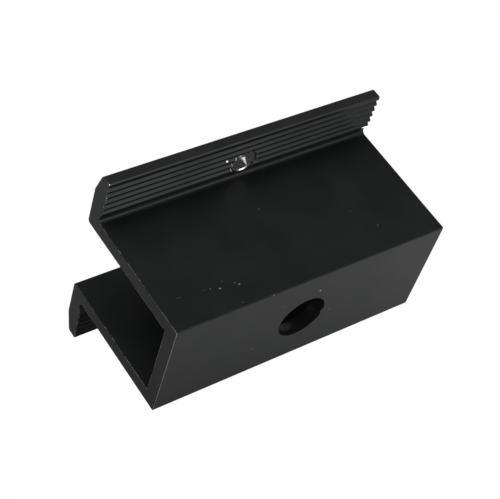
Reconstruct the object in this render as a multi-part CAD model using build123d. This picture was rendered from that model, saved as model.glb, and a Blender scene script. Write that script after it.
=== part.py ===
# Solar mid clamp: an extruded aluminium hat channel with toothed flanges, and a stainless grounding
# pin pressed up into each flange. Millimetres. +X runs along the extrusion, +Z along the bolt from the
# base plate to the flanges. The origin is the centre of the bolt hole on the base plate's underside.
import os

from build123d import *

# Extrusion
clamp_length = 50.0
channel_width = 19.6  # outside, which sets the gap between two modules
web_thickness = 2.4
base_thickness = 2.4
clamp_height = 24.5
flange_reach = 8.7  # from the web's outer face to the tip

# Flange: a blunt tip below a long bevel
grip_depth = 3.04  # from the top of the flange down to the tooth crests
tip_face_height = 1.9
tip_bevel_width = 3.8

# Teeth under each flange, with flat lands. The last one runs out into a relief groove at the web.
tooth_pitch = 1.22
tooth_depth = 0.37
tooth_land = 0.32
tooth_outer_flank = 0.37  # width of the flank that faces the tip
tooth_radius = 0.06
tip_chamfer = 0.2
first_land = 0.54
relief_depth = 0.64  # from the lands up to the floor of the groove
relief_run = 1.2  # width of the slope from the last tooth
relief_floor = 0.9  # width at the web, at least
relief_corner_radius = 0.4
relief_radius = 0.7

# Rounded corners of the section
lip_radius = 0.55
base_corner_radius = 0.2
channel_corner_radius = 0.4
tip_radius = 0.5

# Bolt hole for M8
bolt_hole_diameter = 8.5

# Grounding pins
pin_reach = 3.3  # from the web's outer face
pin_head_diameter = 4.5
pin_head_thickness = 0.6
pin_head_chamfer = 0.12
pin_rim_width = 0.1
pin_dish_depth = 0.12  # turned into the head's face, with a 45 degree wall
pin_shank_diameter = 2.4
pin_shank_length = 1.0
pin_lead_chamfer = 0.2
spike_base_diameter = 1.6
spike_height = 0.92  # past the head's rim
spike_tip_radius = 0.06
seat_clearance = 0.1  # around the head
press_clearance = 0.01  # around the shank
drill_clearance = 0.15  # past the end of the shank

# Dependent sizes
web_face = channel_width / 2
half_width = web_face + flange_reach
pin_offset = web_face + pin_reach
tooth_inner_flank = tooth_pitch - tooth_land - tooth_outer_flank
tooth_space = flange_reach - tip_chamfer - first_land - relief_run - relief_floor
tooth_gaps = int((tooth_space + tooth_land) / tooth_pitch)
channel_face = web_face - web_thickness
crest_level = clamp_height - grip_depth
valley_level = crest_level + tooth_depth
relief_level = crest_level + relief_depth
tip_top = crest_level + tip_face_height
seat_floor = valley_level + pin_head_thickness


def tooth_corners(side):
    """Corners of the teeth from the tip inwards, each with its radius."""
    corners = [
        (side * half_width, crest_level + tip_chamfer, tooth_radius),
        (side * (half_width - tip_chamfer), crest_level, tooth_radius),
    ]
    land_end = half_width - tip_chamfer - first_land
    for gap in range(tooth_gaps):
        root = land_end - tooth_inner_flank
        crest = root - tooth_outer_flank
        corners.append((side * land_end, crest_level, tooth_radius))
        corners.append((side * root, valley_level, tooth_radius))
        corners.append((side * crest, crest_level, tooth_radius))
        land_end = crest - tooth_land
    corners.append((side * (crest - relief_run), relief_level, relief_corner_radius))
    corners.append((side * web_face, relief_level, relief_radius))
    return corners


def flange_corners(side):
    """One flange and web from the channel lip, over the tip and down to the base."""
    corners = [
        (side * channel_face, base_thickness, channel_corner_radius),
        (side * channel_face, clamp_height, lip_radius),
        (side * (half_width - tip_bevel_width), clamp_height, 0.0),
        (side * half_width, tip_top, tip_radius),
    ]
    corners += tooth_corners(side)
    corners.append((side * web_face, 0.0, base_corner_radius))
    return corners


def clamp_section():
    """The hat section as one closed face."""
    corners = flange_corners(1) + flange_corners(-1)[::-1]
    points = [(across, up) for across, up, radius in corners]
    radii = [radius for across, up, radius in corners]
    with BuildSketch(Plane.YZ.offset(-clamp_length / 2)) as section:
        with BuildLine():
            FilletPolyline(*points, radius=radii, close=True)
        make_face()
    return section.sketch


def pin_seat(side):
    """Spot face through the teeth, with a blind hole above it for the shank."""
    across = side * pin_offset
    head_pocket = Cylinder(
        pin_head_diameter / 2 + seat_clearance,
        seat_floor - crest_level + tooth_depth,
        align=(Align.CENTER, Align.CENTER, Align.MAX),
    )
    shank_hole = Cylinder(
        pin_shank_diameter / 2 + press_clearance,
        pin_shank_length + drill_clearance,
        align=(Align.CENTER, Align.CENTER, Align.MIN),
    )
    return Pos(0, across, seat_floor) * (head_pocket + shank_hole)


def make_clamp_body():
    """The extrusion, drilled for the bolt and spot-faced for both pins."""
    body = extrude(clamp_section(), amount=clamp_length)
    body -= Cylinder(bolt_hole_diameter / 2, base_thickness * 3)
    for side in (-1, 1):
        body -= pin_seat(side)
    return body


def make_pin(side):
    """A turned pin: chamfered shank, dished head and a spike that points down at the module frame."""
    head_radius = pin_head_diameter / 2
    shank_radius = pin_shank_diameter / 2
    spike_radius = spike_base_diameter / 2
    rim_radius = head_radius - pin_head_chamfer
    dish_radius = rim_radius - pin_rim_width
    shank_top = pin_head_thickness + pin_shank_length
    profile = [
        (0.0, -spike_height),
        (spike_tip_radius, -spike_height),
        (spike_radius, pin_dish_depth),
        (dish_radius - pin_dish_depth, pin_dish_depth),
        (dish_radius, 0.0),
        (rim_radius, 0.0),
        (head_radius, pin_head_chamfer),
        (head_radius, pin_head_thickness),
        (shank_radius, pin_head_thickness),
        (shank_radius, shank_top - pin_lead_chamfer),
        (shank_radius - pin_lead_chamfer, shank_top),
        (0.0, shank_top),
    ]
    with BuildSketch(Plane.XZ) as half_profile:
        with BuildLine():
            Polyline(*profile, close=True)
        make_face()
    pin = revolve(half_profile.sketch, Axis.Z, 360)
    return Pos(0, side * pin_offset, valley_level) * pin


os.makedirs("parts", exist_ok=True)
export_step(make_clamp_body(), "parts/clamp_body.step")
export_step(make_pin(-1), "parts/grounding_pin_front.step")
export_step(make_pin(1), "parts/grounding_pin_back.step")
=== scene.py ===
import math

import bmesh
import bpy
from mathutils import Matrix, Vector


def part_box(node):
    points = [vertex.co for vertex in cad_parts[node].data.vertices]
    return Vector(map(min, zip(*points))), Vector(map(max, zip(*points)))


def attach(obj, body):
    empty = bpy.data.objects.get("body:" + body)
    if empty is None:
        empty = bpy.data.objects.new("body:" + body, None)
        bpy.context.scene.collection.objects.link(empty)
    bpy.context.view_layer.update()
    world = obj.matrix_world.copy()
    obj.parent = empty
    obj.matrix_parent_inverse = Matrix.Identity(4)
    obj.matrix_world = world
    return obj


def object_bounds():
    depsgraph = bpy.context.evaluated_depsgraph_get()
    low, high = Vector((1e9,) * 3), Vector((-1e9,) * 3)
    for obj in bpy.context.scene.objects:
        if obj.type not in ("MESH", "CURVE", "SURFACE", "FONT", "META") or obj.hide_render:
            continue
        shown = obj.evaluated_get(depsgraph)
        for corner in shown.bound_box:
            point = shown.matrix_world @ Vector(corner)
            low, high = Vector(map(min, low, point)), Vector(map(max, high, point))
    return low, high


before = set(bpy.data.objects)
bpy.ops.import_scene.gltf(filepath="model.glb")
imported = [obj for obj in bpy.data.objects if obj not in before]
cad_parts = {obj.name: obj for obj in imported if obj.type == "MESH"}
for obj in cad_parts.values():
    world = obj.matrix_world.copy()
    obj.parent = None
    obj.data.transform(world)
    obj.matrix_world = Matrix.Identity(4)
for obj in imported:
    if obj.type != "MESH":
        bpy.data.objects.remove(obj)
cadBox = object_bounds()
print("frame loaded:", sorted(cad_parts))

scene = bpy.context.scene
scene.view_settings.view_transform = "Standard"
millimetre = 0.001
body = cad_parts["clamp_body"]
halfLength = cadBox[1][0] / millimetre
halfWidth = cadBox[1][1] / millimetre
webFace = 9.8  # from the middle to a web's outer face, in millimetres


def addNode(tree, kind, **settings):
    node = tree.nodes.new(kind)
    for name, value in settings.items():
        setattr(node, name, value)
    return node


def plug(tree, socket, value):
    # a link for a socket, a plain setting for a number or colour
    if isinstance(value, bpy.types.NodeSocket):
        tree.links.new(value, socket)
    else:
        socket.default_value = value


def calc(tree, operation, a, b=0.0):
    node = addNode(tree, "ShaderNodeMath", operation=operation)
    plug(tree, node.inputs[0], a)
    plug(tree, node.inputs[1], b)
    return node.outputs[0]


def remap(tree, value, fromLow, fromHigh, toLow=0.0, toHigh=1.0):
    # eased from one pair of values to the other, and held past them
    node = addNode(tree, "ShaderNodeMapRange", clamp=True, interpolation_type="SMOOTHSTEP")
    names = ("Value", "From Min", "From Max", "To Min", "To Max")
    for name, number in zip(names, (value, fromLow, fromHigh, toLow, toHigh)):
        plug(tree, node.inputs[name], number)
    return node.outputs[0]


def mixColour(tree, factor, a, b):
    node = addNode(tree, "ShaderNodeMix", data_type="RGBA")
    plug(tree, node.inputs[0], factor)
    plug(tree, node.inputs[6], a)
    plug(tree, node.inputs[7], b)
    return node.outputs[2]


def mixValue(tree, factor, a, b):
    node = addNode(tree, "ShaderNodeMix", data_type="FLOAT")
    plug(tree, node.inputs[0], factor)
    plug(tree, node.inputs[2], a)
    plug(tree, node.inputs[3], b)
    return node.outputs[0]


def grey(level, tint=(1.0, 1.0, 1.0)):
    return (level * tint[0], level * tint[1], level * tint[2], 1.0)


def newGroup(name, inputs, outputs):
    tree = bpy.data.node_groups.new(name, "ShaderNodeTree")
    for label, kind in inputs:
        tree.interface.new_socket(label, in_out="INPUT", socket_type="NodeSocket" + kind)
    for label, kind in outputs:
        tree.interface.new_socket(label, in_out="OUTPUT", socket_type="NodeSocket" + kind)
    return tree, tree.nodes.new("NodeGroupInput"), tree.nodes.new("NodeGroupOutput")


def placeGroup(tree, group, **values):
    node = addNode(tree, "ShaderNodeGroup", node_tree=group)
    for name, value in values.items():
        plug(tree, node.inputs[name], value)
    return node


def inMillimetres(tree):
    # object coordinates, one unit to the millimetre
    place = addNode(tree, "ShaderNodeTexCoord")
    scale = addNode(tree, "ShaderNodeVectorMath", operation="SCALE")
    tree.links.new(place.outputs["Object"], scale.inputs[0])
    scale.inputs["Scale"].default_value = 1.0 / millimetre
    return scale.outputs[0]


def stretched(tree, vector, scale, shift=(0.0, 0.0, 0.0)):
    node = addNode(tree, "ShaderNodeMapping")
    plug(tree, node.inputs["Vector"], vector)
    node.inputs["Scale"].default_value = scale
    node.inputs["Location"].default_value = shift
    return node.outputs[0]


def noise(tree, vector, scale, detail=3.0, roughness=0.55):
    node = addNode(tree, "ShaderNodeTexNoise")
    plug(tree, node.inputs["Vector"], vector)
    node.inputs["Scale"].default_value = scale
    node.inputs["Detail"].default_value = detail
    node.inputs["Roughness"].default_value = roughness
    return node.outputs[0]


def lengthOf(tree, vector):
    node = addNode(tree, "ShaderNodeVectorMath", operation="LENGTH")
    plug(tree, node.inputs[0], vector)
    return node.outputs["Value"]


# below, a pair is the start and the end of a range, and the values of a noise are its scale,
# its detail and, where it isn't the usual one, its roughness
edgeWearLook = {
    "samples": 6,
    "turn": (0.995, 0.86),  # cosine between the face and the rounded edge
    "patches": (0.55, 4.0, 0.65),  # noise
    "specks": (3.6, 2.0, 0.6),  # noise
    "patchShare": 0.6,
    "threshold": 0.78,
    "thresholdDrop": 0.5,
    "softness": 0.05,
}


def makeEdgeWear():
    # bare metal along edges, broken up by noise
    tree, given, out = newGroup(
        "edgeWear",
        [("Vector", "Vector"), ("Radius", "Float"), ("Amount", "Float")],
        [("Mask", "Float")],
    )
    bevel = addNode(tree, "ShaderNodeBevel", samples=edgeWearLook["samples"])
    tree.links.new(given.outputs["Radius"], bevel.inputs["Radius"])
    flat = addNode(tree, "ShaderNodeNewGeometry")
    turn = addNode(tree, "ShaderNodeVectorMath", operation="DOT_PRODUCT")
    tree.links.new(bevel.outputs[0], turn.inputs[0])
    tree.links.new(flat.outputs["Normal"], turn.inputs[1])
    edge = remap(tree, turn.outputs["Value"], *edgeWearLook["turn"])
    patches = noise(tree, given.outputs["Vector"], *edgeWearLook["patches"])
    specks = noise(tree, given.outputs["Vector"], *edgeWearLook["specks"])
    patchPart = calc(tree, "MULTIPLY", patches, edgeWearLook["patchShare"])
    speckPart = calc(tree, "MULTIPLY", specks, 1.0 - edgeWearLook["patchShare"])
    drop = calc(tree, "MULTIPLY", given.outputs["Amount"], edgeWearLook["thresholdDrop"])
    threshold = calc(tree, "SUBTRACT", edgeWearLook["threshold"], drop)
    past = calc(tree, "SUBTRACT", calc(tree, "ADD", patchPart, speckPart), threshold)
    worn = remap(tree, past, 0.0, edgeWearLook["softness"])
    tree.links.new(calc(tree, "MULTIPLY", edge, worn), out.inputs["Mask"])
    return tree


fineGrainLook = {"lines": (1.0, 3.0, 0.6)}  # noise


def makeFineGrain():
    # drawn lines along one direction
    tree, given, out = newGroup(
        "fineGrain",
        [("Vector", "Vector"), ("Lines per mm", "Float")],
        [("Lines", "Float")],
    )
    scale = addNode(tree, "ShaderNodeVectorMath", operation="SCALE")
    tree.links.new(given.outputs["Vector"], scale.inputs[0])
    tree.links.new(given.outputs["Lines per mm"], scale.inputs["Scale"])
    lines = noise(tree, scale.outputs[0], *fineGrainLook["lines"])
    tree.links.new(lines, out.inputs["Lines"])
    return tree


nickLook = {
    "ragged": (5.0, 2.0, 0.6),  # noise
    "raggedness": 0.9,
    "rim": (1.5, 1.1),
}


def makeNick():
    # one small mark: a ragged spot at a place, with a size along each axis
    tree, given, out = newGroup(
        "nick",
        [("Vector", "Vector"), ("Place", "Vector"), ("Size", "Vector")],
        [("Mask", "Float")],
    )
    away = addNode(tree, "ShaderNodeVectorMath", operation="SUBTRACT")
    tree.links.new(given.outputs["Vector"], away.inputs[0])
    tree.links.new(given.outputs["Place"], away.inputs[1])
    share = addNode(tree, "ShaderNodeVectorMath", operation="DIVIDE")
    tree.links.new(away.outputs[0], share.inputs[0])
    tree.links.new(given.outputs["Size"], share.inputs[1])
    ragged = noise(tree, given.outputs["Vector"], *nickLook["ragged"])
    unevenness = calc(tree, "MULTIPLY", ragged, nickLook["raggedness"])
    reach = calc(tree, "ADD", lengthOf(tree, share.outputs[0]), unevenness)
    tree.links.new(remap(tree, reach, *nickLook["rim"]), out.inputs["Mask"])
    return tree


# nicks through the black finish, in millimetres: place, size along each axis and how bare
nicks = [
    # on the front web
    {"at": (-14.9, -webFace, 4.3), "size": (0.15, 0.2, 0.11), "bare": 0.8},
    {"at": (-16.3, -webFace, 4.8), "size": (0.13, 0.2, 0.08), "bare": 0.25},
    {"at": (-17.3, -webFace, 5.0), "size": (0.5, 0.2, 0.06), "bare": 0.05},
    {"at": (-13.9, -webFace, 5.3), "size": (0.18, 0.2, 0.08), "bare": 0.12},
    {"at": (-11.8, -webFace, 3.8), "size": (0.17, 0.2, 0.1), "bare": 0.5},
    {"at": (-12.3, -webFace, 4.3), "size": (0.1, 0.2, 0.22), "bare": 0.1},
    {"at": (-13.2, -webFace, 0.8), "size": (0.12, 0.2, 0.12), "bare": 0.1},
    {"at": (-21.5, -webFace, 5.3), "size": (0.5, 0.2, 0.1), "bare": 0.05},
    {"at": (15.1, -webFace, 4.7), "size": (0.12, 0.2, 0.11), "bare": 0.3},
    {"at": (12.6, -webFace, 8.8), "size": (0.1, 0.2, 0.09), "bare": 0.1},
    {"at": (-0.9, -webFace, 14.8), "size": (0.14, 0.2, 0.13), "bare": 0.1},
    # on the base plate's underside
    {"at": (1.8, -5.7, 0.0), "size": (0.15, 0.15, 0.2), "bare": 1.0},
    {"at": (5.8, 1.0, 0.0), "size": (0.3, 0.1, 0.2), "bare": 0.25},
    {"at": (-5.1, -5.3, 0.0), "size": (0.13, 0.13, 0.2), "bare": 0.2},
    {"at": (-8.3, 3.6, 0.0), "size": (0.4, 0.09, 0.2), "bare": 0.2},
    # in the bolt hole's bore, and on the corner between the web and the base plate
    {"at": (-0.9, 4.2, 1.6), "size": (1.5, 1.0, 0.8), "bare": 0.05},
    {"at": (-8.1, -9.7, 0.1), "size": (0.2, 0.12, 0.12), "bare": 0.2},
    # on the front flange's tip, and beside the pin's seat
    {"at": (-halfLength, -halfWidth, 21.5), "size": (0.16, 0.16, 0.16), "bare": 1.0},
    {"at": (-20.4, -halfWidth, 21.5), "size": (0.26, 0.12, 0.12), "bare": 0.25},
    {"at": (-3.55, -14.6, 21.65), "size": (0.17, 0.14, 0.2), "bare": 1.0},
]

anodised = {
    "colour": grey(0.0085, (0.97, 1.02, 1.02)),
    # painted light: the paler colour painted on the flanges' tip faces
    "paintedTipLightColour": grey(0.0135, (1.01, 1.0, 1.0)),
    "sawnColour": grey(0.024, (0.99, 1.01, 1.0)),
    "bareColour": grey(0.5, (1.0, 0.99, 0.97)),
    "roughness": (0.33, 0.39),  # from one cloud to the next
    "sawnRoughness": 0.55,
    "specular": 0.12,
    "sheen": grey(1.0, (0.95, 1.0, 0.99)),
    "bareMetallic": 0.85,
    "sawnTurn": (0.9, 0.97),  # how squarely a face looks along X
    "sawnRun": (0.05, 0.02),  # in from the end
    "paintedTipLightRun": (0.3, 0.1),  # in from the tip
    "wornRadius": 0.11,
    "wornRun": (1.2, 0.1),  # in from the end
    "wornAmount": (0.10, 0.62),
    "wornHeight": 21.0,
    "wornByHeight": (1.15, 0.8),  # at the base plate and at that height
    "scarBare": 0.5,
    "dieLinesPerMm": 7.0,
    "dieStretch": (0.02, 1.0, 1.0),
    "sawLinesPerMm": 5.0,
    "sawStretch": (1.0, 0.06, 0.8),
    "grainHeight": 0.008,
    "grainStrength": 0.25,
    "cloud": (0.12, 2.0, 0.5),  # noise
    "midNoise": (0.3, 0.7),  # the part of a noise that is used
    "lineTone": (0.96, 1.04),
    "cloudTone": (0.92, 1.08),
}

# the bare metal round the front pin's seat, in millimetres
scar = {
    "gap": 0.12,  # from the pin's head to the middle of the rubbed ring
    "ring": (0.16, 0.06),  # to either side of that middle
    "leftPart": (-1.4, -2.0),  # along X from the pin's axis
    "broken": (0.46, 0.54),  # the part of the noise where the ring fades in
    "patches": (1.7, 2.0),  # noise
    "wallGap": 0.1,  # from the pin's head to the seat's side wall
    "wall": (0.05, 0.03),
    "rightPart": (0.6, 1.4),  # along X from the pin's axis
    "wallBare": 0.3,
    "top": 22.0,
}


def endMask(tree, along):
    # one on the two sawn ends
    flat = addNode(tree, "ShaderNodeNewGeometry")
    turned = addNode(tree, "ShaderNodeSeparateXYZ")
    tree.links.new(flat.outputs["True Normal"], turned.inputs[0])
    square = remap(tree, calc(tree, "ABSOLUTE", turned.outputs[0]), *anodised["sawnTurn"])
    start, full = anodised["sawnRun"]
    atEnd = remap(tree, along, halfLength - start, halfLength - full)
    return calc(tree, "MULTIPLY", square, atEnd)


def offBy(tree, value, middle):
    # how far a value lies to either side of a middle
    return calc(tree, "ABSOLUTE", calc(tree, "SUBTRACT", value, middle))


def seatScar(tree, position):
    low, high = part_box("grounding_pin_front")
    pinCentre = (Vector(low) + Vector(high)) / 2 / millimetre
    headRadius = (high[0] - low[0]) / 2 / millimetre
    fromAxis = stretched(tree, position, (1.0, 1.0, 0.0), (-pinCentre.x, -pinCentre.y, 0.0))
    radius = lengthOf(tree, fromAxis)
    across = addNode(tree, "ShaderNodeSeparateXYZ")
    tree.links.new(fromAxis, across.inputs[0])
    heights = addNode(tree, "ShaderNodeSeparateXYZ")
    tree.links.new(position, heights.inputs[0])
    below = remap(tree, heights.outputs[2], high[2] / millimetre, scar["top"])

    # the cutter rubbed the finish off the seat's rim, mostly on its -X side
    ring = remap(tree, offBy(tree, radius, headRadius + scar["gap"]), *scar["ring"])
    left = remap(tree, across.outputs[0], *scar["leftPart"])
    broken = remap(tree, noise(tree, position, *scar["patches"]), *scar["broken"])
    rubbed = calc(tree, "MULTIPLY", calc(tree, "MULTIPLY", ring, left), broken)

    # the seat's side wall is cut metal too, seen past the pin's +X side
    wall = remap(tree, offBy(tree, radius, headRadius + scar["wallGap"]), *scar["wall"])
    right = remap(tree, across.outputs[0], *scar["rightPart"])
    cutWall = calc(tree, "MULTIPLY", calc(tree, "MULTIPLY", wall, right), scar["wallBare"])
    return calc(tree, "MULTIPLY", calc(tree, "MAXIMUM", rubbed, cutWall), below)


def makeAnodised(edgeWear, fineGrain, nick):
    material = bpy.data.materials.new("blackAnodisedAluminium")
    material.use_nodes = True
    tree = material.node_tree
    surface = tree.nodes["Principled BSDF"]
    position = inMillimetres(tree)
    axes = addNode(tree, "ShaderNodeSeparateXYZ")
    tree.links.new(position, axes.inputs[0])
    along = calc(tree, "ABSOLUTE", axes.outputs[0])
    sawn = endMask(tree, along)

    # die lines along X on the extruded faces, saw lines across the cut ends
    drawn = placeGroup(tree, fineGrain, Vector=stretched(tree, position, anodised["dieStretch"]))
    drawn.inputs["Lines per mm"].default_value = anodised["dieLinesPerMm"]
    sawLines = placeGroup(tree, fineGrain, Vector=stretched(tree, position, anodised["sawStretch"]))
    sawLines.inputs["Lines per mm"].default_value = anodised["sawLinesPerMm"]
    lines = mixValue(tree, sawn, drawn.outputs["Lines"], sawLines.outputs["Lines"])
    cloud = noise(tree, position, *anodised["cloud"])

    # wear along the rims of the sawn ends, the nicks and the rubbed seat
    start, full = anodised["wornRun"]
    nearEnd = remap(tree, along, halfLength - start, halfLength - full, *anodised["wornAmount"])
    byHeight = remap(tree, axes.outputs[2], 0.0, anodised["wornHeight"], *anodised["wornByHeight"])
    amount = calc(tree, "MULTIPLY", nearEnd, byHeight)
    wornRadius = anodised["wornRadius"] * millimetre
    worn = placeGroup(tree, edgeWear, Vector=position, Radius=wornRadius, Amount=amount)
    bare = worn.outputs["Mask"]
    for mark in nicks:
        spot = placeGroup(tree, nick, Vector=position, Place=mark["at"], Size=mark["size"])
        shown = calc(tree, "MULTIPLY", spot.outputs["Mask"], mark["bare"])
        bare = calc(tree, "MAXIMUM", bare, shown)
    rubbedSeat = calc(tree, "MULTIPLY", seatScar(tree, position), anodised["scarBare"])
    bare = calc(tree, "MAXIMUM", bare, rubbedSeat)

    # painted light: the flanges' blunt tip faces are painted a little paler, standing in for the
    # light they catch that the web under the flange misses
    start, full = anodised["paintedTipLightRun"]
    outward = calc(tree, "ABSOLUTE", axes.outputs[1])
    paintedTipLight = remap(tree, outward, halfWidth - start, halfWidth - full)
    black = mixColour(tree, paintedTipLight, anodised["colour"], anodised["paintedTipLightColour"])
    black = mixColour(tree, sawn, black, anodised["sawnColour"])
    shade = addNode(tree, "ShaderNodeVectorMath", operation="SCALE")
    tree.links.new(black, shade.inputs[0])
    lineTone = remap(tree, lines, *anodised["midNoise"], *anodised["lineTone"])
    cloudTone = remap(tree, cloud, *anodised["midNoise"], *anodised["cloudTone"])
    tree.links.new(calc(tree, "MULTIPLY", lineTone, cloudTone), shade.inputs["Scale"])
    colour = mixColour(tree, bare, shade.outputs[0], anodised["bareColour"])
    tree.links.new(colour, surface.inputs["Base Color"])
    metallic = calc(tree, "MULTIPLY", bare, anodised["bareMetallic"])
    tree.links.new(metallic, surface.inputs["Metallic"])

    smooth = remap(tree, cloud, *anodised["midNoise"], *anodised["roughness"])
    roughness = mixValue(tree, sawn, smooth, anodised["sawnRoughness"])
    tree.links.new(roughness, surface.inputs["Roughness"])
    bump = addNode(tree, "ShaderNodeBump")
    bump.inputs["Strength"].default_value = anodised["grainStrength"]
    bump.inputs["Distance"].default_value = anodised["grainHeight"] * millimetre
    tree.links.new(lines, bump.inputs["Height"])
    tree.links.new(bump.outputs[0], surface.inputs["Normal"])
    surface.inputs["Specular IOR Level"].default_value = anodised["specular"]
    surface.inputs["Specular Tint"].default_value = anodised["sheen"]
    return material


stainless = {
    "colour": grey(0.62, (1.0, 0.99, 0.97)),
    "dullColour": grey(0.42, (1.0, 0.98, 0.96)),
    "roughness": (0.15, 0.28),
    "metallic": 0.94,
    "mottle": (2.2, 3.0),  # noise
    "colourMottle": (0.3, 0.7),
    "roughnessMottle": (0.25, 0.75),
    "ringsPerMm": 6.7,
    "ringHeight": 0.01,
    "ringStrength": 0.15,
}


def makeStainless(name, pinCentre):
    material = bpy.data.materials.new(name)
    material.use_nodes = True
    tree = material.node_tree
    surface = tree.nodes["Principled BSDF"]
    position = inMillimetres(tree)
    # turning rings about the pin's own axis
    axis = (-pinCentre.x / millimetre, -pinCentre.y / millimetre, 0.0)
    fromAxis = stretched(tree, position, (1.0, 1.0, 0.0), axis)
    turnsPerMm = stainless["ringsPerMm"] * 2 * math.pi
    turns = calc(tree, "MULTIPLY", lengthOf(tree, fromAxis), turnsPerMm)
    mottled = noise(tree, position, *stainless["mottle"])
    dullness = remap(tree, mottled, *stainless["colourMottle"])
    colour = mixColour(tree, dullness, stainless["dullColour"], stainless["colour"])
    tree.links.new(colour, surface.inputs["Base Color"])
    surface.inputs["Metallic"].default_value = stainless["metallic"]
    roughness = remap(tree, mottled, *stainless["roughnessMottle"], *stainless["roughness"])
    tree.links.new(roughness, surface.inputs["Roughness"])
    bump = addNode(tree, "ShaderNodeBump")
    bump.inputs["Strength"].default_value = stainless["ringStrength"]
    bump.inputs["Distance"].default_value = stainless["ringHeight"] * millimetre
    tree.links.new(calc(tree, "SINE", turns), bump.inputs["Height"])
    tree.links.new(bump.outputs[0], surface.inputs["Normal"])
    return material


def dress(node, material):
    node.data.materials.clear()
    node.data.materials.append(material)


blackFinish = makeAnodised(makeEdgeWear(), makeFineGrain(), makeNick())
dress(body, blackFinish)
for pinName in ("grounding_pin_front", "grounding_pin_back"):
    low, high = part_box(pinName)
    dress(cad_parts[pinName], makeStainless(pinName + "Steel", (Vector(low) + Vector(high)) / 2))
print("finishes done")

# millimetres and degrees
holeBurr = {
    "radius": 4.25,
    "angle": 9.0,
    "span": 15.0,
    "steps": 10,
    "reach": 0.5,
    "leastReach": 0.01,
    "raggedness": 0.25,
    "raggedTurn": 2.3,
    "thickness": 0.3,
    "blunt": (0.8, 0.5),  # share of the reach and of the thickness
    "lift": 0.01,
    "sunk": 0.02,
}


def makeHoleBurr():
    # a torn lip that the drill left inside the bolt hole's rim
    lip = bmesh.new()
    columns = []
    for step in range(holeBurr["steps"] + 1):
        share = step / holeBurr["steps"]
        turn = math.radians(holeBurr["angle"] + holeBurr["span"] * (share - 0.5))
        ragged = 1.0 - holeBurr["raggedness"] * (1.0 - math.sin(step * holeBurr["raggedTurn"]))
        reach = holeBurr["reach"] * math.sin(math.pi * share) * ragged + holeBurr["leastReach"]
        outward = Vector((math.cos(turn), math.sin(turn), 0.0))
        bluntReach, bluntHeight = holeBurr["blunt"]
        columns.append([
            lip.verts.new((outward * radius + Vector((0.0, 0.0, height))) * millimetre)
            for radius, height in (
                (holeBurr["radius"] + holeBurr["sunk"], holeBurr["lift"]),
                (holeBurr["radius"] - reach, holeBurr["lift"]),
                (holeBurr["radius"] - reach * bluntReach, holeBurr["thickness"] * bluntHeight),
                (holeBurr["radius"] + holeBurr["sunk"], holeBurr["thickness"]),
            )
        ])
    for first, second in zip(columns, columns[1:]):
        for corner in range(4):
            following = (corner + 1) % 4
            lip.faces.new((first[corner], second[corner], second[following], first[following]))
    lip.faces.new(columns[0])
    lip.faces.new(columns[-1][::-1])
    bmesh.ops.recalc_face_normals(lip, faces=lip.faces)
    mesh = bpy.data.meshes.new("hole_burr")
    lip.to_mesh(mesh)
    lip.free()
    mesh.materials.append(blackFinish)
    burr = bpy.data.objects.new("hole_burr", mesh)
    scene.collection.objects.link(burr)
    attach(burr, "root")


makeHoleBurr()
print("burr done")

# metres, unless a line says otherwise
studio = {
    "floorSize": 1.6,
    "floorDrop": 0.00005,
    "floorColour": grey(0.86),
    "floorFade": (110.0, 200.0),  # millimetres from the part
    "dullRoughness": 0.95,
    "dullSpecular": 0.05,
    "cardColour": grey(0.01),
    "fillStrength": 0.55,
}


def squareMesh(name, size, height=0.0):
    half = size / 2
    mesh = bpy.data.meshes.new(name)
    mesh.from_pydata([(-half, -half, height), (half, -half, height), (half, half, height),
                      (-half, half, height)], [], [(0, 1, 2, 3)])
    return mesh


def dullMaterial(name, colour):
    material = bpy.data.materials.new(name)
    material.use_nodes = True
    surface = material.node_tree.nodes["Principled BSDF"]
    surface.inputs["Base Color"].default_value = colour
    surface.inputs["Roughness"].default_value = studio["dullRoughness"]
    surface.inputs["Specular IOR Level"].default_value = studio["dullSpecular"]
    return material


def makeFloor():
    # seen from above only, and fading out to the white world
    mesh = squareMesh("studioFloor", studio["floorSize"], -studio["floorDrop"])
    floor = bpy.data.objects.new("studioFloor", mesh)
    scene.collection.objects.link(floor)
    material = dullMaterial("paleFloor", studio["floorColour"])
    tree = material.node_tree
    clear = addNode(tree, "ShaderNodeBsdfTransparent")
    side = addNode(tree, "ShaderNodeNewGeometry")
    choose = addNode(tree, "ShaderNodeMixShader")
    away = remap(tree, lengthOf(tree, inMillimetres(tree)), *studio["floorFade"])
    plug(tree, choose.inputs[0], calc(tree, "MAXIMUM", side.outputs["Backfacing"], away))
    tree.links.new(tree.nodes["Principled BSDF"].outputs[0], choose.inputs[1])
    tree.links.new(clear.outputs[0], choose.inputs[2])
    tree.links.new(choose.outputs[0], tree.nodes["Material Output"].inputs["Surface"])
    mesh.materials.append(material)
    floor.visible_diffuse = False
    floor.visible_glossy = False
    floor.visible_transmission = False
    floor.visible_shadow = False


def makeWorld():
    # pure white to the view and to reflections, a weaker fill for everything else
    world = bpy.data.worlds.new("studioWorld")
    scene.world = world
    world.use_nodes = True
    tree = world.node_tree
    tree.nodes.clear()
    out = addNode(tree, "ShaderNodeOutputWorld")
    rays = addNode(tree, "ShaderNodeLightPath")
    shown = calc(tree, "MAXIMUM", rays.outputs["Is Camera Ray"], rays.outputs["Is Glossy Ray"])
    shown = calc(tree, "MAXIMUM", shown, rays.outputs["Is Transmission Ray"])
    white = addNode(tree, "ShaderNodeBackground")
    white.inputs["Color"].default_value = grey(1.0)
    fill = addNode(tree, "ShaderNodeBackground")
    fill.inputs["Color"].default_value = grey(1.0)
    fill.inputs["Strength"].default_value = studio["fillStrength"]
    choose = addNode(tree, "ShaderNodeMixShader")
    tree.links.new(shown, choose.inputs[0])
    tree.links.new(fill.outputs[0], choose.inputs[1])
    tree.links.new(white.outputs[0], choose.inputs[2])
    tree.links.new(choose.outputs[0], out.inputs["Surface"])


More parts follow.
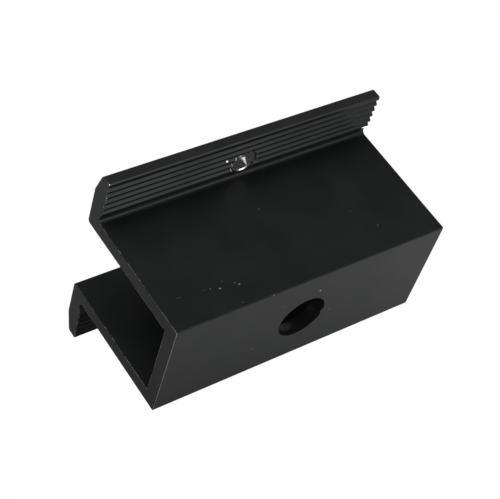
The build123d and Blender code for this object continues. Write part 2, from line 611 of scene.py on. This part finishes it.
def facing(place, target, roll=0.0):
    # at a place, with -Z towards the target, then turned about that line; straight above or below
    # the target there is no level direction to the right, so X stands in
    back = (place - target).normalized()
    right = Vector((0.0, 0.0, 1.0)).cross(back)
    right = right.normalized() if right.length > 1e-6 else Vector((1.0, 0.0, 0.0))
    turned = right * math.cos(roll) + back.cross(right) * math.sin(roll)
    basis = Matrix((turned, back.cross(turned), back)).transposed().to_4x4()
    basis.translation = place
    return basis


# dark cards that only reflections see, in metres
cards = {
    "cardAbove": {"direction": (0.0, 0.0, 1.0), "distance": 0.25, "size": (1.4, 1.4)},
    "cardLowLeft": {"direction": (-0.62, -0.18, -0.76), "distance": 0.30, "size": (0.30, 0.30)},
    "cardLowRight": {"direction": (0.93, -0.25, -0.28), "distance": 0.30, "size": (0.26, 0.26)},
}

# two more behind the part, with their places in millimetres: the back flange's underside reflects
# the upright one, and the low one makes the base plate's shine fade towards +Y
backCards = {
    "cardUnderBackFlange": {
        "place": (0.0, halfWidth + 1.0, 10.9), "tilt": 90.0, "size": (0.1, 0.021),
    },
    "cardBehindLow": {"place": (-5.0, 103.0, -25.0), "tilt": 0.0, "size": (0.175, 0.1)},
}

lamps = {
    "softBelow": {"direction": (0.38, -0.53, -0.76), "distance": 0.35, "size": 0.16, "watts": 0.46},
    "softFront": {"direction": (-0.28, -0.82, 0.38), "distance": 0.40, "size": 0.25, "watts": 1.15},
    "softBehind": {"direction": (0.5, 0.8, 0.35), "distance": 0.40, "size": 0.20, "watts": 1.2},
    "softTop": {"direction": (-0.05, 0.35, 0.93), "distance": 0.40, "size": 0.30, "watts": 2.4},
}

partCentre = (Vector(cadBox[0]) + Vector(cadBox[1])) / 2


def placeCard(name, material, size, turned):
    mesh = squareMesh(name, 1.0)
    mesh.materials.append(material)
    card = bpy.data.objects.new(name, mesh)
    scene.collection.objects.link(card)
    card.matrix_world = turned @ Matrix.Diagonal((size[0], size[1], 1.0, 1.0))
    card.visible_camera = False
    card.visible_diffuse = False
    card.visible_shadow = False
    card.visible_transmission = False


def makeCards():
    material = dullMaterial("darkCard", studio["cardColour"])
    for name, card in cards.items():
        place = partCentre + Vector(card["direction"]).normalized() * card["distance"]
        placeCard(name, material, card["size"], facing(place, partCentre))
    for name, card in backCards.items():
        turned = Matrix.Rotation(math.radians(card["tilt"]), 4, "X")
        turned.translation = Vector(card["place"]) * millimetre
        placeCard(name, material, card["size"], turned)


def makeLamps():
    for name, lamp in lamps.items():
        light = bpy.data.lights.new(name, "AREA")
        light.shape = "SQUARE"
        light.size = lamp["size"]
        light.energy = lamp["watts"]
        thing = bpy.data.objects.new(name, light)
        scene.collection.objects.link(thing)
        place = partCentre + Vector(lamp["direction"]).normalized() * lamp["distance"]
        thing.matrix_world = facing(place, partCentre)
        thing.visible_camera = False


# degrees, and millimetres
cameraView = {
    "azimuth": -34.03,
    "elevation": -26.22,
    "roll": -37.15,
    "distance": 220.3,
    "aim": (-3.25, -4.74, 11.66),
    "lens": 103.61,
    "sensorWidth": 36.0,
    "clip": (0.01, 20.0),  # metres
}


def makeCamera():
    data = bpy.data.cameras.new("viewCamera")
    data.lens = cameraView["lens"]
    data.sensor_width = cameraView["sensorWidth"]
    data.clip_start, data.clip_end = cameraView["clip"]
    thing = bpy.data.objects.new("viewCamera", data)
    scene.collection.objects.link(thing)
    turn = math.radians(cameraView["azimuth"])
    rise = math.radians(cameraView["elevation"])
    level = Vector((math.sin(turn), -math.cos(turn), 0.0))
    back = level * math.cos(rise) + Vector((0.0, 0.0, math.sin(rise)))
    target = Vector(cameraView["aim"]) * millimetre
    place = target + back * cameraView["distance"] * millimetre
    thing.matrix_world = facing(place, target, math.radians(cameraView["roll"]))
    scene.camera = thing


makeFloor()
makeWorld()
makeCards()
makeLamps()
makeCamera()
print("studio done")
